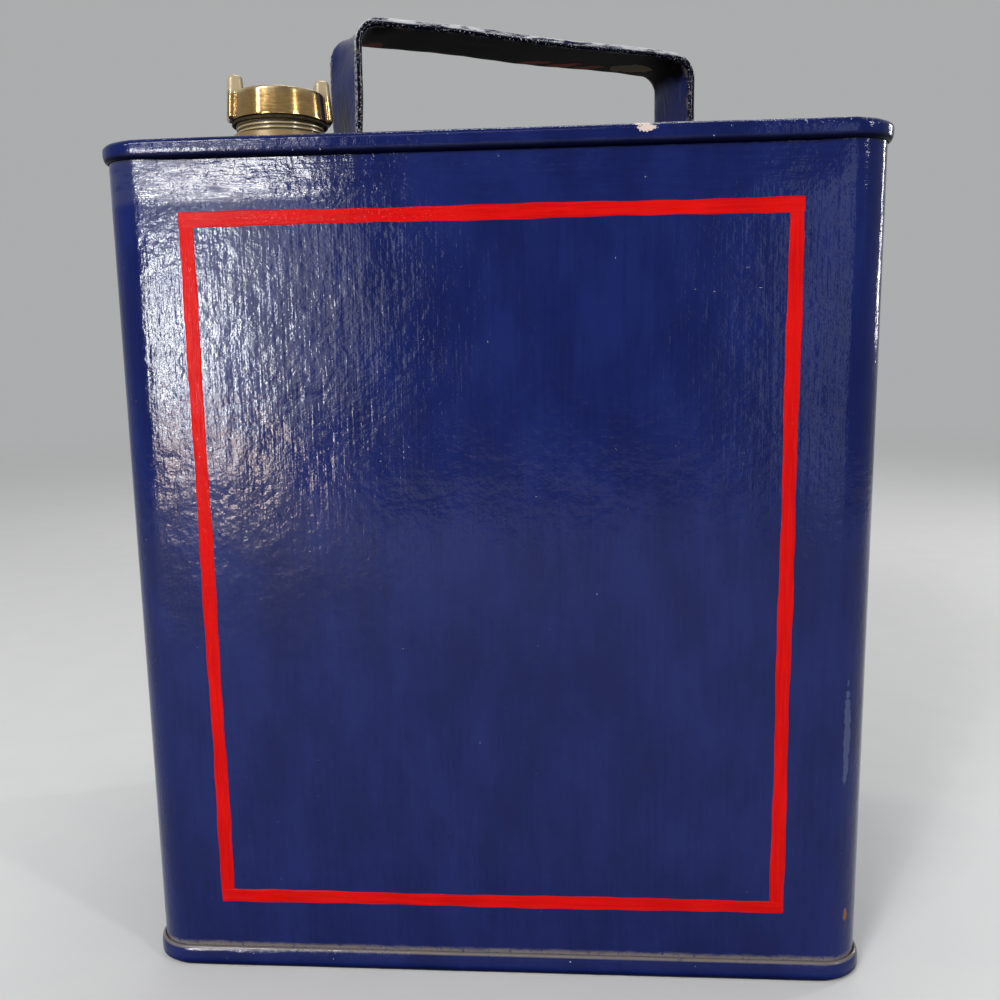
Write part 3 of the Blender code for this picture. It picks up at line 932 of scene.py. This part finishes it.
def add_stroke(name, start, end, middle, along_x, build, seed, material):
    """A brushed stroke on the front face, with wandering edges and paint heaped along them."""
    rng = random.Random(seed)
    length = abs(end - start)
    count = round(length / stroke_step)
    waves = [
        (rng.uniform(1.5, 4), rng.uniform(0, 6.28), slow_wander),
        (rng.uniform(7, 12), rng.uniform(0, 6.28), quick_wander),
    ]
    ragged = [[rng.uniform(-1, 1) for _ in range(count + 1)] for _ in range(2)]
    rows = []
    for step in range(count + 1):
        share = step / count
        along = start + (end - start) * share
        edge_shift = []
        for side in range(2):
            drift = 0
            for turns, phase, size in waves:
                drift += size * sin(2 * pi * turns * share + phase + 2 * side)
            local = ragged[side][max(0, step - 1) : step + 2]
            edge_shift.append(drift + ragged_edge * sum(local) / len(local))
        taper = smooth(min(share, 1 - share) * length, 0.0, stroke_end)
        row = []
        for across, rise in stroke_section:
            offset = (across - 0.5) * border_width + edge_shift[0] * (1 - across) + edge_shift[1] * across
            x, z = (along, middle + offset) if along_x else (middle + offset, along)
            height = border_paint * rise * taper * build
            row.append((x, -half_depth + panel_offset(x, z) - height, z))
        back = [(x, -half_depth + panel_offset(x, z) + border_back, z) for x, _, z in reversed(row)]
        rows.append(row + back)
    bm = bmesh.new()
    cap_ends(bm, add_rings(bm, rows))
    settle(finish_mesh(name, bm, [material], radians(60)))


# Handle


def handle_path():
    """The strap's middle line as (along, height) from the left foot to the right one."""
    half = handle_thickness / 2
    leg = handle_length / 2 - half
    foot_level = panel_face + fit_gap + half
    top_level = handle_top - half
    line = between((handle_length / 2 - foot_length, foot_level), (leg - foot_bend, foot_level), 12)
    line += arc((leg - foot_bend, foot_level + foot_bend), foot_bend, -90, 0, 10)
    line += between((leg, foot_level + foot_bend), (leg, top_level - handle_bend), 12)[1:]
    line += arc((leg - handle_bend, top_level - handle_bend), handle_bend, 0, 90, 14)
    line += between((leg - handle_bend, top_level), (0, top_level), 22)[1:]
    right = line + [(0, top_level)]
    left = [(-along, height) for along, height in line]
    return left + right[::-1]


def strap_section():
    """The strap's section as (across, out, kind).

    Kind 0 is the outer face, 1 an edge, 2 the inner face, 3 the outer arris and 4 the edge next to it.
    """
    near, far = handle_width / 2 - strap_edge, handle_thickness / 2 - strap_edge
    half = handle_thickness / 2
    runs = (
        (arc((near, -far), strap_edge, -90, 0, 4), (1, 1, 1, 1, 1)),
        (arc((near, far), strap_edge, 0, 90, 4), (4, 4, 3, 3, 3)),
        (between((near, half), (-near, half), 12)[1:], [0] * 11),
        (arc((-near, far), strap_edge, 90, 180, 4), (3, 3, 3, 4, 4)),
        (arc((-near, -far), strap_edge, 180, 270, 4), (1, 1, 1, 1, 1)),
        (between((-near, -half), (near, -half), 12)[1:], [2] * 11),
    )
    return [(across, out, kind) for points, kinds in runs for (across, out), kind in zip(points, kinds)]


def add_handle(materials):
    """A flat strap with eased edges, hollowed across its bends and a little uneven along its length."""
    half_w, half_t = handle_width / 2, handle_thickness / 2
    section = strap_section()
    path = handle_path()
    rows = []
    top_level = handle_top - half_t
    leg = handle_length / 2 - half_t
    bend = Vector((leg - handle_bend * 0.3, top_level - handle_bend * 0.3))
    for here, (along, height) in enumerate(path):
        before = path[max(0, here - 1)]
        after = path[min(len(path) - 1, here + 1)]
        step = Vector((after[0] - before[0], after[1] - before[1])).normalized()
        normal = Vector((-step.y, step.x))
        end = min(here, len(path) - 1 - here)
        lean = 1 - (foot_narrowing[end] if end < len(foot_narrowing) else 0.0) / half_w
        on_top = smooth(height, top_level - strap_top_fade, top_level)
        hollow = bend_dip * (1 - smooth((Vector((abs(along), height)) - bend).length, *bend_fade))
        sag = on_top * strap_sag * (0.5 + 0.5 * sin(along * 95 + 0.8))
        sway = strap_sway * sin(along * 60 + 1.0) * on_top
        twist = leg_twist * smooth(-along, leg - twist_start, leg - twist_full) * smooth(height, *twist_rise)
        row = []
        for across, out, _ in section:
            share = abs(across) / half_w
            pulled = out - hollow * (1 - share ** 2)
            wave = strap_edge_wave * sin(along * 240 + (1.2 if across > 0 else 3.9)) * share
            x = along + normal.x * pulled - twist * across / half_w
            z = height + normal.y * pulled - sag - abs(wave) * on_top
            row.append((x, across * lean + sway, z))
        rows.append(row)
    bm = bmesh.new()
    wear = bm.verts.layers.float.new("wear")
    made = add_rings(bm, rows)
    cap_ends(bm, [made[0][::-1], made[-1][::-1]])
    kinds = {vertex: kind for row in made for vertex, (_, _, kind) in zip(row, section)}
    for vertex, kind in kinds.items():
        high = kind == 4 and vertex.co.z > top_level - arris_margin
        vertex[wear] = arris_wear if high else (0.0, 1.0, 0.0, arris_wear, 1.0)[kind]
    for face in bm.faces:
        face.material_index = 1 if any(kinds[vertex] == 2 for vertex in face.verts) else 0
    piece = finish_mesh("handle", bm, materials, radians(45))
    piece.data.transform(Matrix.Translation((*handle_centre, 0)) @ Matrix.Rotation(handle_turn, 4, "Z"))
    return piece


def turned_rings(profile, count=turned_steps, wander=0.0):
    """Rings of points about Z from (radius, height) pairs."""
    rings = []
    for radius, height in profile:
        ring = []
        for step in range(count):
            angle = 2 * pi * step / count
            local = radius + wander * sin(3 * angle + 1) * sin(7 * angle)
            ring.append((local * cos(angle), local * sin(angle), height))
        rings.append(ring)
    return rings


def add_turned(name, profile, count, materials, place=(0, 0, 0)):
    """A solid of revolution whose profile starts and ends near the axis."""
    bm = bmesh.new()
    cap_ends(bm, add_rings(bm, turned_rings(profile, count)))
    return finish_mesh(name, bm, materials, turned_sharp, place)


def add_rivet(name, place, materials):
    """A domed rivet with a small flat on its crown and a formed tail under the backing plate."""
    head = panel_face + fit_gap + handle_thickness + fit_gap
    tail = panel_face - sheet - fit_gap - backing_thickness - fit_gap
    profile = [(axis_gap, head + rivet_dome)]
    for degrees in range(12, 91, 13):
        angle = radians(degrees)
        profile.append((rivet_head * sin(angle), head + rivet_dome * cos(angle)))
    profile += [(rivet_head, head), (rivet_shank, head), (rivet_shank, tail)]
    profile += [(radius, tail - drop) for radius, drop in rivet_tail]
    return add_turned(name, profile, 40, materials, (*place, 0.0))


# Neck and cap


def thread_wave(share):
    """A rounded thread's height, 0 at the root and 1 at the crest, at a share of the pitch."""
    ridge = 0.5 - 0.5 * cos(2 * pi * share)
    return smooth(ridge, 0.12, 0.80)


def thread_rows(top, bottom, root, crest, fade):
    """Rings from top to bottom whose radius follows a right-hand helix."""
    steps = max(2, round((top - bottom) / thread_pitch * 14))
    rows = []
    for row in range(steps + 1):
        height = top + (bottom - top) * row / steps
        full = smooth(top - height, 0.0, fade) * smooth(height - bottom, 0.0, fade)
        ring = []
        for step in range(turned_steps):
            angle = 2 * pi * step / turned_steps
            share = (height / thread_pitch - step / turned_steps) % 1.0
            radius = root + (crest - root) * thread_wave(share) * full
            ring.append((radius * cos(angle), radius * sin(angle), height))
        rows.append(ring)
    return rows


def add_tube(name, rows, materials, level):
    """A hollow turned piece on the neck's axis from rings that go round its section."""
    bm = bmesh.new()
    made = add_rings(bm, rows)
    join_rings(bm, made[-1], made[0])
    return finish_mesh(name, bm, materials, place=(neck_x, neck_y, level))


def add_collar(materials):
    """The turned collar: flange, spigot and neck, with the thread cut inside it."""
    base = panel_face + fit_gap
    flange_top = base + flange_thickness
    top = panel_face + collar_height
    spigot_end = panel_face - collar_spigot
    fillet = (collar_radius + flange_fillet, flange_top + flange_fillet)
    outside = [(bore_radius + bore_chamfer, top)] + eased(collar_radius, top, collar_ease, 3)
    outside += arc(fillet, flange_fillet, 180, 270, 4)
    outside += eased(flange_radius, flange_top, collar_ease, 3)
    outside += [(flange_radius, base), (collar_radius, base)]
    outside += [(collar_radius, spigot_end), (bore_radius, spigot_end)]
    cut = bore_radius + bore_thread_depth
    inside = thread_rows(top - bore_chamfer, spigot_end + bore_lead, bore_radius, cut, bore_thread_fade)
    return add_tube("collar", turned_rings(outside) + inside[::-1], materials, 0)


def add_plug(materials):
    """The hollow threaded plug under the cap's head."""
    rows = turned_rings([(thread_root, plug_overlap), (thread_root, plug_step)])
    rows += thread_rows(0.0, -plug_length + plug_lead, thread_root, thread_crest, plug_thread_fade)
    rows += turned_rings([(thread_root - plug_chamfer, -plug_length), (plug_bore + plug_step, -plug_length)])
    rows += turned_rings([(plug_bore, plug_overlap)])
    return add_tube("cap_plug", rows, materials, head_level)


def add_lugs(materials):
    """The two lugs and the ribs under them."""
    bm = bmesh.new()
    outer = head_radius + lug_proud
    full = head_height + lug_height
    for side in (-1, 1):
        for corner in bmesh.ops.create_cube(bm, size=1)["verts"]:
            high = corner.co.z > 0
            if corner.co.x * side > 0:
                reach = outer - (lug_draft if high else 0.0)
            else:
                reach = outer - lug_radial - (0.0 if high else lug_undercut)
            spread = lug_length / 2 - (lug_taper if high else 0.0)
            corner.co = (side * reach, copysign(spread, corner.co.y), full if high else 0.0)
    bmesh.ops.bevel(bm, geom=bm.edges, offset=lug_round, segments=4, profile=0.5, affect="EDGES")
    lugs = finish_mesh("cap_lugs", bm, materials)
    lugs.rotation_euler = (0, 0, lug_turn)
    return lugs


def add_cap_head(materials):
    """The cast head: a drafted drum with a dished top, joined to its lugs under one skin."""
    top_radius = head_radius - head_draft
    dish, hollow = head_height - dish_depth, head_height - head_crown
    profile = [(axis_gap, dish), (top_radius - dish_inset, dish), (top_radius - dish_rim, head_height)]
    profile += eased(top_radius, head_height, head_ease, 4)
    profile += [(head_radius, 0.0), (plug_bore + hollow_step, 0.0), (plug_bore, hollow), (axis_gap, hollow)]
    drum = add_turned("cap_head", profile, 160, materials)
    lugs = add_lugs(materials)
    union = drum.modifiers.new("Lugs", "BOOLEAN")
    union.object = lugs
    union.operation = "UNION"
    remesh = drum.modifiers.new("Cast skin", "REMESH")
    remesh.mode = "VOXEL"
    remesh.voxel_size = cast_skin
    ease = drum.modifiers.new("Ease", "SMOOTH")
    ease.factor = 0.5
    ease.iterations = 4
    apply_modifiers(drum)
    bpy.data.objects.remove(lugs)
    drum.location = (neck_x, neck_y, head_level)
    drum["sharp"] = radians(60)
    return drum


def add_closed(name, rows, materials, sharp, level):
    """A ring on the neck's axis from rings that end where they began."""
    bm = bmesh.new()
    add_rings(bm, rows + rows[:1])
    bmesh.ops.remove_doubles(bm, verts=bm.verts, dist=weld)
    return finish_mesh(name, bm, materials, sharp, (neck_x, neck_y, level))


def add_washer(materials):
    """The leather washer under the cap's head."""
    rows = turned_rings(washer_section, 96, washer_wander)
    return add_closed("washer", rows, materials, turned_sharp, head_level - fit_gap)


def add_solder(materials):
    """The lumpy fillet of solder round the flange."""
    rng = random.Random(5)
    inner = flange_radius + fit_gap
    base = panel_face + fit_gap
    count = 160
    lumps = [(rng.uniform(5, 23), rng.uniform(0, 6.28), rng.uniform(0.3, 1.0)) for _ in range(6)]
    rows = []
    for share_out, share_up in solder_section:
        ring = []
        for step in range(count):
            angle = 2 * pi * step / count
            lump = sum(share * sin(round(turns) * angle + phase) for turns, phase, share in lumps)
            size = solder_size * (0.86 + 0.14 * (lump / len(lumps)))
            radius = inner + share_out * size
            ring.append((radius * cos(angle), radius * sin(angle), base + share_up * size))
        rows.append(ring)
    return add_closed("solder", rows, materials, radians(50), 0)


# Stage

white = (1, 1, 1)
cap_target = (-0.07, -0.04, 0.28)

# Name, place, target, width, height, radiance and colour of each lamp
lamps = (
    ("soft_box", (-0.30, -1.20, 1.10), (0, 0, 0.16), 0.80, 0.45, 1.5, white),
    ("rim_light", (-0.62, -1.20, 1.10), (-0.05, 0, 0.2), 0.34, 0.25, 30.0, white),
    ("haze_panel", (-0.475, -1.15, 0.31), (0, 0, 0.2), 0.34, 0.34, 3.8, white),
    ("left_strip", (-0.565, -1.19, 0.235), (0, 0, 0.2), 0.055, 0.26, 98.0, (0.94, 0.97, 1.0)),
    ("warm_patch", (-0.525, -1.18, 0.060), (0, 0, 0.16), 0.12, 0.06, 48.0, (1.0, 0.80, 0.68)),
    ("top_strip", (-0.485, -1.24, 0.60), (0, 0, 0.25), 0.20, 0.070, 28.0, white),
    ("right_haze", (0.43, -1.16, 0.24), (0, 0, 0.2), 0.14, 0.60, 1.7, (0.78, 0.86, 1.0)),
    ("cap_left", (-0.861, -1.071, 0.79), cap_target, 0.045, 0.20, 60.0, white),
    ("cap_right", (0.99, -0.79, 0.65), cap_target, 0.08, 0.22, 60.0, white),
    ("back_strip", (1.106, 0.511, 0.46), (-0.04, 0, 0.22), 0.06, 0.50, 34.0, white),
    ("ceiling_strip", (0.05, 0.18, 1.50), (0, 0, 0.25), 0.70, 0.07, 24.0, white),
    ("back_fill", (0.2, 1.5, 1.6), (0, 0, 0.15), 1.0, 0.7, 2.0, white),
)
world_colour = (0.98, 0.99, 1.0, 1.0)
world_strength = 0.42
floor_radius = 3.0
floor_fade = (0.7, 2.4)

# Camera, fitted to the photograph's outline
camera_place = (0.0228765, -0.3711322, 0.2039073)
camera_yaw, camera_pitch, camera_roll = -0.06962, 0.15546, -0.01649
camera_lens_mm = 34.746
camera_sensor_mm = 36
camera_near = 0.01


def add_area(name, place, target, width, height, radiance, colour):
    """A soft lamp that shines at a target with a given radiance."""
    lamp = bpy.data.lights.new(name, "AREA")
    lamp.shape = "RECTANGLE"
    lamp.size = width
    lamp.size_y = height
    lamp.energy = radiance * pi * width * height
    lamp.color = colour
    holder = bpy.data.objects.new(name, lamp)
    holder.location = place
    holder.rotation_euler = (Vector(target) - Vector(place)).to_track_quat("-Z", "Y").to_euler()
    holder.visible_camera = False
    scene.collection.objects.link(holder)


def add_stage():
    """A pale floor that fades into an even pale world, and the lamps."""
    tree = Tree("floor")
    tree.set(Base_Color=tree.mix(tree.noise(40, 3.0), (0.66, 0.66, 0.66), (0.70, 0.70, 0.69)))
    tree.set(Roughness=0.9, Specular_IOR_Level=0.1)
    tree.set(Alpha=tree.band(tree.reach(tree.x, tree.y), *floor_fade, 1.0, 0.0))
    bm = bmesh.new()
    bmesh.ops.create_circle(bm, cap_ends=True, radius=floor_radius, segments=96)
    floor = finish_mesh("floor", bm, [tree.material])
    shade(floor)
    world = bpy.data.worlds.new("world")
    world.use_nodes = True
    background = world.node_tree.nodes["Background"]
    background.inputs["Color"].default_value = world_colour
    background.inputs["Strength"].default_value = world_strength
    scene.world = world
    for lamp in lamps:
        add_area(*lamp)


def add_camera():
    """The photograph's viewpoint: close, a little right of the middle and looking down."""
    lens = bpy.data.cameras.new("camera")
    lens.sensor_width = camera_sensor_mm
    lens.lens = camera_lens_mm
    lens.clip_start = camera_near
    camera = bpy.data.objects.new("camera", lens)
    tilt = Matrix.Rotation(pi / 2 - camera_pitch, 4, "X") @ Matrix.Rotation(camera_roll, 4, "Z")
    camera.matrix_world = Matrix.Translation(camera_place) @ Matrix.Rotation(-camera_yaw, 4, "Z") @ tilt
    scene.collection.objects.link(camera)
    scene.camera = camera


# The can


def rivet_places():
    """Where each rivet stands, by name."""
    turn = Matrix.Rotation(handle_turn, 3, "Z")
    places = {}
    for side, side_name in ((-1, "left"), (1, "right")):
        for across, across_name in ((-1, "front"), (1, "back")):
            spot = turn @ Vector((side * (handle_length / 2 - rivet_inset), across * rivet_offset, 0))
            places[f"{side_name}_{across_name}"] = (handle_centre[0] + spot.x, handle_centre[1] + spot.y)
    return places


def add_border():
    """The four strokes of the painted border."""
    level_red = red_enamel("paint_red_level", (60, 1200, 1500))
    upright_red = red_enamel("paint_red_upright", (1500, 1200, 60))
    inset = border_width / 2
    low, high = border_bottom + inset, border_top - inset
    for name, start, end, middle, along_x, build, seed, red in (
        ("left", low, high, border_left + inset, False, 0.8, 11, upright_red),
        ("right", low, high, border_right - inset, False, 0.8, 12, upright_red),
        ("top", border_left, border_right, high, True, 1.0, 13, level_red),
        ("bottom", border_left, border_right, low, True, 1.0, 14, level_red),
    ):
        add_stroke(f"border_stroke_{name}", start, end, middle, along_x, build, seed, red)


def main():
    steel = dull_finish("bare_steel", *steel_tones, 1.0, 0.38, 0.60)
    solder = dull_finish("solder_grey", *solder_tones, 0.7, 0.35, 0.60, 500.0)
    leather = dull_finish("washer_leather", *leather_tones, 0.0, 0.6, 0.85, 900.0)
    settle(add_body_half("body_front", -1, [enamel("front"), steel]), "front_shell")
    settle(add_body_half("body_back", 1, [enamel("back"), steel]), "back_shell")

    rivets = rivet_places()
    holes = [(neck_x, neck_y, collar_radius + fit_gap, 96)]
    holes += [(x, y, rivet_hole, 32) for x, y in rivets.values()]
    settle(add_end_panel("top_rim", True, [enamel("top"), steel], holes), "top_panel")
    settle(add_end_panel("base_rim", False, [enamel("base"), steel], []), "base_panel")
    add_border()

    handle_paint = enamel("handle")
    settle(add_handle([handle_paint, strap_underside()]), "handle_strap", slot="handle_paint")
    for name, place in rivets.items():
        rivet = add_rivet(f"rivet_{name}", place, [handle_paint])
        settle(rivet, f"handle_rivet_{name}", slot="handle_paint")

    settle(add_collar([brass("collar")]), "neck_collar", slot="brass")
    settle(add_solder([solder]), "neck_solder", slot="solder")
    settle(add_washer([leather]), "cap_washer", body="washer", slot="washer")
    settle(add_cap_head([brass("head")]), "filler_cap", body="cap", slot="brass")
    settle(add_plug([brass("thread")]), body="cap", slot="brass")

    for kind, material in (("handle_backing", steel), ("seam_solder", solder)):
        for side in ("left", "right"):
            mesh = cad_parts[f"{kind}_{side}"].data
            mesh.materials.clear()
            mesh.materials.append(material)

    add_stage()
    add_camera()
    scene.view_settings.view_transform = "Standard"


main()
